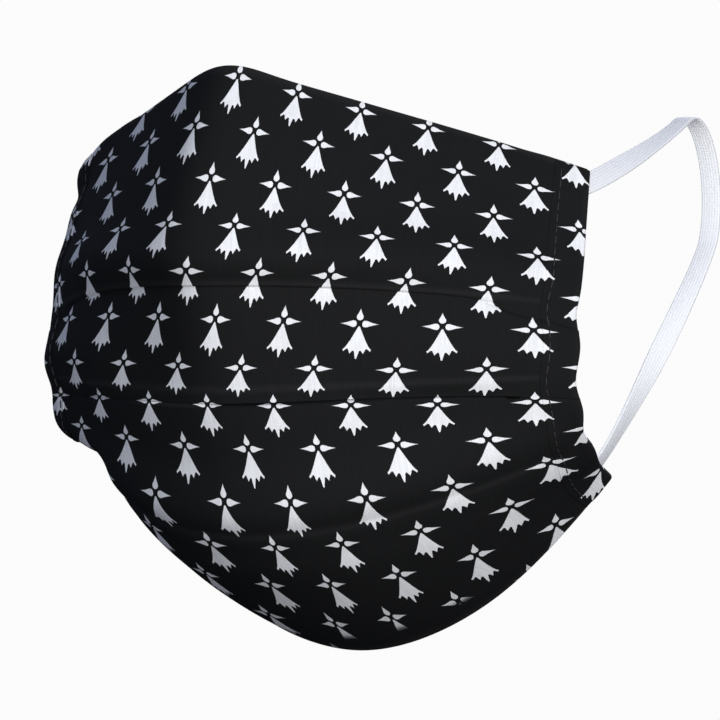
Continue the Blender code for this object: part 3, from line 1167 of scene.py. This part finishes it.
@dataclass
class PleatedPanel:
    """The pleated cloth, from side edge to side edge."""

    form: MaskForm
    chart: PrintChart
    finishes: Finishes
    columns: int = 176
    cloth: float = 0.9 * MM
    edge_cloth: float = 2.0 * MM  # the pressed pleats are this thick where the side hems hold them
    flat_width: float = 188.0  # of the cut cloth, in millimetres
    flat_length: float = 186.0
    pressed: tuple[float, float] = (0.80, 0.90)  # how far across the pleats get pressed
    crowding: float = 1.1  # radians of the sine that crowds the columns towards the side edges
    rub_width: float = 0.012  # of a rubbed edge, as a share of the way down
    rub_above: float = 0.004  # how far above a lip the cloth is rubbed most
    lip_rub: float = 0.7
    chin_shade_height: float = 0.035  # height of the unprinted band of painted shade along the chin edge, as a share of the way down
    chin_shade_softness: float = 0.006
    chin_shade_from: tuple[float, float] = (-0.25, 0.0)  # how far across the painted shade band comes in
    chin_shade_to: tuple[float, float] = (0.52, 0.62)  # and goes out

    def thickness(self, across: Array) -> Array:
        """The cloth's thickness at these places across, in metres."""
        return self.cloth + (self.edge_cloth - self.cloth) * eased(*self.pressed, np.abs(across))

    def flat_place(self, across: Array, down: Array) -> Array:
        """Places on the flat cloth, in millimetres."""
        return np.stack([across * self.flat_width / 2, down * self.flat_length], -1)

    def worn(self, across: Array, down: Array) -> Array:
        """How rubbed the cloth is, 0 to 1: along the lips and the outer edges."""
        found = np.maximum(
            1 - eased(0.0, self.rub_width, down), eased(1.0 - self.rub_width, 1.0, down)
        )
        for pleat in self.form.pleats:
            lip = self.form.lip_down(pleat, across)
            away = np.abs(down - lip + self.rub_above)
            found = np.maximum(found, (1 - eased(0.0, self.rub_width, away)) * self.lip_rub)
        return found

    def painted_chin_shade(self, across: Array, down: Array) -> Array:
        """1 on the unprinted black band of painted shade along the chin edge, seen from the middle
        to the left cheek.
        """
        start = 1.0 - self.chin_shade_height
        reach = eased(*self.chin_shade_from, across) * (1 - eased(*self.chin_shade_to, across))
        return eased(start - self.chin_shade_softness, start + self.chin_shade_softness, down) * reach

    def build(self) -> Piece:
        """Makes the panel.

        Returns:
            The new piece.
        """
        across = np.sin(np.linspace(-1, 1, self.columns + 1) * self.crowding)
        across = across / math.sin(self.crowding)
        thickness = self.thickness(across)
        down, lift = self.form.rows(across, thickness)
        middle = self.form.middle(across, down, lift)
        wide = np.broadcast_to(across, down.shape)
        chart = Chart(
            self.chart.place(wide, down),
            self.flat_place(wide, down),
            self.worn(wide, down),
            self.painted_chin_shade(wide, down),
        )
        shell = Shell(middle, np.broadcast_to(thickness, down.shape), chart)
        piece = shell.build("pleated_panel", self.finishes.printed, self.finishes.plain)
        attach(piece, "root")
        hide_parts("mask_panel")
        return piece


@dataclass
class SideHem:
    """The strip folded over one side edge, with its line of stitches."""

    side: Side
    panel: PleatedPanel
    width: float = 8.6 * MM
    leaf: float = 0.5 * MM  # thickness of the strip's cloth
    thin: float = 0.3  # share of that at the strip's stitched edges
    thinning: float = 4.0 * MM  # how far in it gets its full thickness
    outer_gap: float = 0.04 * MM  # between the panel and the outer leaf
    inner_gap: float = 0.35 * MM
    pinch: float = 0.06 * MM  # how deep the stitches draw the outer leaf in
    pinch_width: float = 0.9 * MM
    fold_out: float = 0.9 * MM  # how far the fold stands out beyond the panel's edge
    fold_round: float = 0.6  # power of its bow
    wrap: float = 2.6 * MM  # length of cloth round the fold
    rub: float = 0.8  # how rubbed the fold is
    rub_width: float = 0.6  # as a share of the wrap
    print_reach: float = 1.3  # the print runs on this far across, round the fold
    leaf_columns: int = 16
    turn_columns: int = 9
    stitch_inset: float = 1.7 * MM
    stitch_pitch: float = 3.0 * MM
    stitch_length: float = 2.5 * MM
    first_stitch: float = 1.6 * MM  # from the strip's top end
    last_gap: float = 1.0 * MM
    thread: float = 0.32 * MM
    thread_stand: float = 0.12  # how far its middle stands off the leaf, in its thicknesses
    thread_dive: float = 0.75  # how deep a stitch's ends go in, in the same
    thread_rings: int = 9
    thread_sides: int = 8

    @property
    def _order(self) -> slice:
        """Turns columns that run out to the side edge into ones that run to +X, and back."""
        return slice(None, None, self.side.value)

    def _surface(self, across: Array) -> tuple[Array, Array, Array, Array]:
        """The panel's middle near this edge.

        Args:
            across: places across, in one dimension, that run out to the side edge.

        Returns:
            The `down` of each row, the points, the unit normals and the thickness.
        """
        order = self._order
        thickness = self.panel.thickness(across[order])
        down, lift = self.panel.form.rows(across[order], thickness)
        middle = self.panel.form.middle(across[order], down, lift)
        normals = grid_normals(middle)
        return down[:, order], middle[:, order], normals[:, order], thickness[order]

    def build(self) -> list[Piece]:
        """Makes the folded strip and its stitches.

        Returns:
            The strip and the stitches.
        """
        inset = self.width * (1 - np.arange(self.leaf_columns + 1) / self.leaf_columns)
        half_flat = self.panel.flat_width / 2 * MM
        across = self.side.sign * (1 - inset / half_flat)
        down, middle, normals, thickness = self._surface(across)
        full = eased(0.0, self.thinning, self.width - inset)
        leaf = self.leaf * (self.thin + (1 - self.thin) * full)
        pinch = np.exp(-(((inset - self.width + self.stitch_inset) / self.pinch_width) ** 2))
        outer_stand = thickness / 2 + self.outer_gap + leaf / 2 - self.pinch * pinch
        inner_stand = thickness / 2 + self.inner_gap + leaf / 2
        outer = middle + normals * outer_stand[:, None]
        inner = middle - normals * inner_stand[:, None]
        edge, edge_normal = middle[:, -1], normals[:, -1]
        beyond = unit(middle[:, -1] - middle[:, -2])
        top, bottom = outer_stand[-1], inner_stand[-1]
        around = []
        for k in range(1, self.turn_columns + 1):
            turn = math.pi * k / (self.turn_columns + 1)
            rise = (top - bottom) / 2 + (top + bottom) / 2 * math.cos(turn)
            bow = beyond * self.fold_out * math.sin(turn) ** self.fold_round
            around.append(edge + edge_normal * rise + bow)
        strip = np.concatenate([outer, np.stack(around, 1), inner[:, ::-1]], 1)
        wrap = self.wrap / half_flat
        turned = wrap * np.arange(1, self.turn_columns + 1) / (self.turn_columns + 1)
        spread = self.side.sign * np.concatenate(
            [np.abs(across), 1 + turned, 2 + wrap - np.abs(across[::-1])]
        )
        folded = np.repeat(down[:, -1:], self.turn_columns, 1)
        downs = np.concatenate([down, folded, down[:, ::-1]], 1)
        order = self._order
        strip, spread, downs = strip[:, order], spread[order], downs[:, order]
        wide = np.broadcast_to(spread, downs.shape)
        off_fold = (np.abs(wide) - 1 - wrap / 2) / (self.rub_width * wrap)
        chart = Chart(
            self.panel.chart.place(np.clip(wide, -self.print_reach, self.print_reach), downs),
            self.panel.flat_place(wide, downs),
            np.exp(-(off_fold**2)) * self.rub,
            # Where the print is left off as painted shade at the chin.
            self.panel.painted_chin_shade(wide, downs),
        )
        folded_leaf = np.concatenate([leaf, np.full(self.turn_columns, self.leaf), leaf[::-1]])
        shell = Shell(strip, np.broadcast_to(folded_leaf, downs.shape), chart)
        name = f"folded_hem_{self.side.word}"
        piece = shell.build(name, self.panel.finishes.printed, self.panel.finishes.printed)
        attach(piece, "root")
        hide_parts(f"side_hem_{self.side.word}")
        stitches = self._stitches(outer, inner, normals, inset)
        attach(stitches, "root")
        return [piece, stitches]

    def _stitches(self, outer: Array, inner: Array, normals: Array, inset: Array) -> Piece:
        """Makes the stitches on both faces of the strip.

        Args:
            outer: the outer leaf's middle.
            inner: the inner leaf's middle.
            normals: the panel's unit normals there.
            inset: how far each column is from the side edge, in metres.

        Returns:
            The new piece.
        """
        at = self.width - self.stitch_inset
        column = int(np.argmin(np.abs(inset - at)))
        stand = self.leaf / 2 + self.thread * self.thread_stand
        points: list[Array] = []
        faces: list[tuple[int, ...]] = []
        maps: list[Array] = []
        for leaf, facing in ((outer, 1.0), (inner, -1.0)):
            line = leaf[:, column] + normals[:, column] * facing * stand
            run = run_along(line)
            start = self.first_stitch
            while start + self.stitch_length < run[-1] - self.last_gap:
                places = start + self.stitch_length * np.linspace(0, 1, self.thread_rings)
                spine, out = (
                    np.stack([np.interp(places, run, part[:, k]) for k in range(3)], -1)
                    for part in (line, normals[:, column])
                )
                self._stitch(spine, unit(out) * facing, points, faces, maps)
                start += self.stitch_pitch
        return make_piece(
            f"hem_stitches_{self.side.word}",
            np.concatenate(points),
            faces,
            [self.panel.finishes.thread],
            maps={"woven": np.concatenate(maps)},
        )

    def _stitch(
        self,
        spine: Array,
        facing: Array,
        points: list[Array],
        faces: list[tuple[int, ...]],
        maps: list[Array],
    ) -> None:
        """Adds one stitch, which dives into the cloth at both ends.

        Args:
            spine: points along the stitch.
            facing: unit normals of the cloth there.
            points: the vertices so far, added to.
            faces: the faces so far, added to.
            maps: the flat coordinates so far, added to.
        """
        sides = self.thread_sides
        half_run = 1.2  # millimetres of thread from a stitch's middle to its end
        blunt = 0.02  # keeps a stitch's ends from closing to a point
        first = sum(len(block) for block in points)
        ahead = unit(np.gradient(spine, axis=0))
        over = unit(np.cross(ahead, facing))
        share = np.linspace(-1, 1, len(spine))
        radius = self.thread / 2 * np.sqrt(np.maximum(1 - share**4, blunt))
        dive = self.thread * self.thread_dive * share**4
        for k, middle in enumerate(spine - facing * dive[:, None]):
            turns = np.arange(sides) * 2 * math.pi / sides
            ring = np.cos(turns)[:, None] * over[k] + np.sin(turns)[:, None] * facing[k]
            points.append(middle + radius[k] * ring)
            along = np.full(sides, share[k] * half_run)
            maps.append(np.stack([turns / (2 * math.pi), along], -1))
        for k in range(len(spine) - 1):
            for j in range(sides):
                a, b = first + k * sides + j, first + k * sides + (j + 1) % sides
                faces.append((a, b, b + sides, a + sides))
        faces.append(tuple(first + j for j in range(sides))[::-1])
        last = first + (len(spine) - 1) * sides
        faces.append(tuple(last + j for j in range(sides)))


class Strand(NamedTuple):
    """One end of an ear loop."""

    cut_down: float  # where its cut end lies, under the hem
    corner_down: float  # where it leaves the side edge
    ear_angle: float  # in degrees from straight back
    leave_pull: float  # how far it runs on as it leaves the hem, as a share of its length
    ear_pull: float  # the same, as it comes to the ear


@dataclass
class EarLoop:
    """Flat elastic from the top corner, behind the ear, to the bottom corner."""

    side: Side
    form: MaskForm
    finishes: Finishes
    width: float = ELASTIC_WIDTH * MM
    thick: float = 1.0 * MM
    side_round: float = 0.75  # powers that square off the elastic's section
    face_round: float = 0.45
    rib_depth: float = 0.10  # of its thickness
    rib_reach: float = 0.95  # of its half width
    tuck: float = 7.2 * MM  # how far its ends run in under the hem
    under: float = 3.45 * MM  # from the panel's outer face down to the elastic's middle
    ear_back: float = 0.1000
    ear_drop: float = 0.0400
    ear_out: float = 0.0750
    half_depth: float = 0.0115
    half_height: float = 0.0190
    upper: Strand = Strand(0.062, 0.024, 104.0, 0.45, 0.55)
    lower: Strand = Strand(0.925, 0.960, -42.0, 0.25, 0.35)
    tuck_steps: int = 8
    strand_steps: int = 90
    ear_steps: int = 110
    around: int = 36

    def _on(self, across: float, down: float) -> Array:
        """One point of the smooth cloth."""
        return self.form.smooth(np.array(across), np.array(down))

    def _ear_point(self, degrees: float) -> tuple[Array, Array]:
        """A point of the oval behind the ear, and the direction of travel there."""
        angle = math.radians(degrees)
        point = np.array(
            [
                self.side.sign * self.ear_out,
                self.ear_back + self.half_depth * math.cos(angle),
                -self.ear_drop + self.half_height * math.sin(angle),
            ]
        )
        travel = [0.0, self.half_depth * math.sin(angle), -self.half_height * math.cos(angle)]
        return point, unit(np.array(travel))

    def _tucked(self, end: Strand) -> tuple[list[Array], list[Array]]:
        """The stretch that lies under the side hem, from its cut end to the side edge.

        Args:
            end: the strand.

        Returns:
            Points along its middle, and its width direction at each.
        """
        side = self.side.sign
        corner, middle = (self._on(across, end.corner_down) for across in (side, 0.0))
        half_row = np.linalg.norm(corner - middle)
        places = []
        for k in range(self.tuck_steps + 1):
            share = k / self.tuck_steps
            across = np.array(side * (1 - self.tuck / half_row * (1 - share)))
            down = np.array(end.cut_down + (end.corner_down - end.cut_down) * share)
            normal = self.form.outward(across, down)
            outwards = self.form.settled(across, down)[0]
            place = self.form.smooth(across, down) - normal * (self.under - outwards)
            places.append((place, normal))
        points = [place for place, _ in places]
        ahead = unit(points[-1] - points[0])
        widths = [unit(np.cross(ahead, normal)) * side for _, normal in places]
        if widths[0][2] > 0:
            widths = [-wide for wide in widths]
        return points, widths

    def _strand(self, end: Strand) -> tuple[list[Array], list[Array]]:
        """One strand, from its cut end to the oval behind the ear.

        Args:
            end: the strand.

        Returns:
            Points along its middle, and its width direction at each.
        """
        points, widths = self._tucked(end)
        leave, along_edge = points[-1], widths[-1]
        heading = unit(points[-1] - points[-2])
        outwards = np.array([self.side.sign, 0.0, 0.0])
        ear, travel = self._ear_point(end.ear_angle)
        if end.ear_angle < 0:
            travel = -travel
        reach = np.linalg.norm(ear - leave)
        for k in range(1, self.strand_steps):
            share = k / self.strand_steps
            turned = share**2 * (3 - 2 * share)
            points.append(
                leave
                + (ear - leave) * turned
                + heading * reach * end.leave_pull * share * (1 - share) ** 2
                - travel * reach * end.ear_pull * share**2 * (1 - share)
            )
            widths.append(along_edge + (outwards - along_edge) * turned)
        return points, widths

    def _outline(self) -> tuple[Array, Array]:
        """The elastic's section: a flat band with rounded sides and low ribs.

        Returns:
            Distances across the width and through the thickness, in metres.
        """
        turns = np.arange(self.around) * 2 * math.pi / self.around
        across = np.sign(np.cos(turns)) * np.abs(np.cos(turns)) ** self.side_round
        through = np.sign(np.sin(turns)) * np.abs(np.sin(turns)) ** self.face_round
        groove = 0.5 - 0.5 * np.cos(across * ELASTIC_RIBS * math.pi)
        ribs = 1 - self.rib_depth * groove * (np.abs(across) < self.rib_reach)
        return across * self.width / 2, through * ribs * self.thick / 2

    def build(self) -> Piece:
        """Makes the loop.

        Returns:
            The new piece.
        """
        points, widths = self._strand(self.upper)
        sweep = self.lower.ear_angle - self.upper.ear_angle
        outwards = np.array([self.side.sign, 0.0, 0.0])
        for k in range(self.ear_steps + 1):
            points.append(self._ear_point(self.upper.ear_angle + sweep * k / self.ear_steps)[0])
            widths.append(outwards)
        back_points, back_widths = self._strand(self.lower)
        points += back_points[::-1]
        widths += back_widths[::-1]
        line, wide = np.array(points), np.array(widths)
        ahead = unit(np.gradient(line, axis=0))
        wide = unit(wide - ahead * (wide * ahead).sum(-1, keepdims=True))
        through = np.cross(ahead, wide)
        flat, deep = self._outline()
        run = run_along(line)
        shell = line[:, None] + wide[:, None] * flat[:, None] + through[:, None] * deep[:, None]
        count, around = len(line), self.around
        index = np.arange(count * around).reshape(count, around)
        ring = np.roll(index, -1, 1)
        quads = np.stack([index[:-1], ring[:-1], ring[1:], index[1:]], -1).reshape(-1, 4).tolist()
        quads.append(index[0][::-1].tolist())
        quads.append(index[-1].tolist())
        maps = np.empty((count, around, 2))
        maps[..., 0] = flat / MM + ELASTIC_WIDTH / 2
        maps[..., 1] = run[:, None] / MM
        name = f"elastic_loop_{self.side.word}"
        piece = make_piece(
            name,
            shell.reshape(-1, 3),
            quads,
            [self.finishes.elastic],
            maps={"woven": maps.reshape(-1, 2)},
        )
        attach(piece, "root")
        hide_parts(f"ear_loop_{self.side.word}")
        LOG.info("%s: %.0f mm of elastic", name, run[-1] / MM)
        return piece


# ---- the studio


def direction(azimuth: float, elevation: float) -> Vector:
    """The way out from the mask to a place around it.

    Args:
        azimuth: degrees from the front towards the wearer's left.
        elevation: degrees up.

    Returns:
        The unit vector.
    """
    turn, rise = math.radians(azimuth), math.radians(elevation)
    level = math.cos(rise)
    return Vector((math.sin(turn) * level, -math.cos(turn) * level, math.sin(rise)))


def white_to_camera(tree: Tree, own: Socket, glow: str) -> Socket:
    """Shows plain white to the camera and something else to all other rays.

    Args:
        tree: the world's or material's own tree.
        own: the shader for all other rays.
        glow: the kind of node that gives the white.

    Returns:
        The mixed shader.
    """
    seen = tree.nodes.new(glow)
    seen.inputs["Color"].default_value = (1.0, 1.0, 1.0, 1.0)
    seen.inputs["Strength"].default_value = PAPER_WHITE
    path = tree.nodes.new("ShaderNodeLightPath")
    mix = tree.nodes.new("ShaderNodeMixShader")
    tree.links.new(path.outputs["Is Camera Ray"], mix.inputs[0])
    tree.links.new(own, mix.inputs[1])
    tree.links.new(seen.outputs[0], mix.inputs[2])
    return mix.outputs[0]


@dataclass(frozen=True)
class PhotoCamera:
    """The camera at the photograph's place."""

    azimuth: float = 30.0
    elevation: float = 5.0
    roll: float = 2.9
    distance: float = 2.2
    pixels_per_metre: float = 4080.0
    origin_at: tuple[float, float] = (222.0, 69.0)  # where the nose bridge falls, in pixels
    sensor: float = 36.0

    def build(self) -> Piece:
        """Makes the camera and gives it to the scene."""
        turn, roll = math.radians(self.azimuth), math.radians(self.roll)
        right = Vector((math.cos(turn), math.sin(turn), 0.0))
        back = direction(self.azimuth, self.elevation)
        up = back.cross(right)
        rolled_right = right * math.cos(roll) - up * math.sin(roll)
        rolled_up = right * math.sin(roll) + up * math.cos(roll)
        middle = PIXELS / 2
        aside = (middle - self.origin_at[0]) / self.pixels_per_metre
        above = (self.origin_at[1] - middle) / self.pixels_per_metre
        place = rolled_right * aside + rolled_up * above + back * self.distance
        data = bpy.data.cameras.new("photo_camera")
        data.sensor_width = self.sensor
        data.lens = self.sensor * self.distance * self.pixels_per_metre / PIXELS
        data.clip_start, data.clip_end = 0.05, 100.0
        camera = bpy.data.objects.new("photo_camera", data)
        axes = Matrix((rolled_right, rolled_up, back)).transposed()
        camera.matrix_world = Matrix.Translation(place) @ axes.to_4x4()
        bpy.context.scene.collection.objects.link(camera)
        bpy.context.scene.camera = camera
        return camera


@dataclass(frozen=True)
class SoftLight:
    """One square studio light, aimed at the middle of the mask."""

    name: str
    azimuth: float
    elevation: float
    distance: float
    size: float
    power: float
    colour: Colour = (1.0, 1.0, 1.0)
    aim: tuple[float, float, float] = (0.0, 0.03, -0.075)

    def build(self) -> Piece:
        """Makes the light."""
        back = direction(self.azimuth, self.elevation)
        data = bpy.data.lights.new(self.name, "AREA")
        data.energy, data.size, data.color = self.power, self.size, self.colour
        light = bpy.data.objects.new(self.name, data)
        light.location = Vector(self.aim) + back * self.distance
        light.rotation_euler = back.to_track_quat("Z", "Y").to_euler()
        bpy.context.scene.collection.objects.link(light)
        return light


@dataclass(frozen=True)
class Studio:
    """Plain pale floor and soft light."""

    floor_drop: float = 3.0
    floor_radius: float = 45.0
    floor_sides: int = 64
    floor_colour: Colour = (0.07, 0.07, 0.08)
    ambient: Colour = (0.60, 0.70, 1.0)
    ambient_strength: float = 0.29
    lights: tuple[SoftLight, ...] = (
        SoftLight("key_softbox", 48.0, 12.0, 1.5, 0.9, 19.5, (1.0, 0.99, 0.97)),
        SoftLight("front_softbox", 20.0, -25.0, 1.5, 0.9, 4.5, (0.96, 0.97, 1.0)),
        SoftLight("back_softbox", 190.0, 22.0, 1.8, 1.0, 30.0),
    )

    def _world(self) -> None:
        """Sets the light that comes from all round, with a white background behind it."""
        world = bpy.data.worlds.new("pale_studio")
        world.use_nodes = True
        tree = world.node_tree
        ambient = tree.nodes["Background"]
        ambient.inputs["Color"].default_value = (*self.ambient, 1.0)
        ambient.inputs["Strength"].default_value = self.ambient_strength
        mixed = white_to_camera(tree, ambient.outputs[0], "ShaderNodeBackground")
        tree.links.new(mixed, tree.nodes["World Output"].inputs["Surface"])
        bpy.context.scene.world = world

    def _floor(self) -> Piece:
        """Makes a wide pale floor, well below the mask."""
        material = bpy.data.materials.new("pale_floor")
        material.use_nodes = True
        tree = material.node_tree
        shader = tree.nodes["Principled BSDF"]
        shader.inputs["Base Color"].default_value = (*self.floor_colour, 1.0)
        shader.inputs["Roughness"].default_value = 0.9
        mixed = white_to_camera(tree, shader.outputs[0], "ShaderNodeEmission")
        tree.links.new(mixed, tree.nodes["Material Output"].inputs["Surface"])
        radius, sides = self.floor_radius, self.floor_sides
        turns = [2 * math.pi * k / sides for k in range(sides)]
        ring = [(radius * math.cos(t), radius * math.sin(t), -self.floor_drop) for t in turns]
        mesh = bpy.data.meshes.new("pale_floor")
        mesh.from_pydata(ring, [], [tuple(range(sides))])
        mesh.materials.append(material)
        floor = bpy.data.objects.new("pale_floor", mesh)
        bpy.context.scene.collection.objects.link(floor)
        return floor

    def build(self) -> None:
        """Makes the floor, the world and the lights, and sets plain colours for the picture."""
        self._world()
        self._floor()
        for light in self.lights:
            light.build()
        view = bpy.context.scene.view_settings
        view.view_transform = "Standard"
        view.look = "None"


@dataclass
class FaceMask:
    """The whole mask: panel, side hems with their stitches, and ear loops."""

    height: float

    def build(self) -> None:
        finishes = Finishes()
        form = MaskForm(self.height)
        panel = PleatedPanel(form, PrintChart(), finishes)
        cloth = panel.build()
        LOG.info("%s: %d faces", cloth.name, len(cloth.data.polygons))
        for side in Side:
            for piece in SideHem(side, panel).build():
                LOG.info("%s: %d faces", piece.name, len(piece.data.polygons))
            EarLoop(side, form, finishes).build()
        panel.flat_width * MM
        panel.flat_length * MM


def main() -> None:
    """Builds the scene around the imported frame."""
    logging.basicConfig(level=logging.INFO, format="%(name)s: %(message)s")
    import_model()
    low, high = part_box("mask_panel")
    PhotoCamera().build()
    Studio().build()
    FaceMask(high[2] - low[2]).build()


if __name__ == "__main__":
    main()
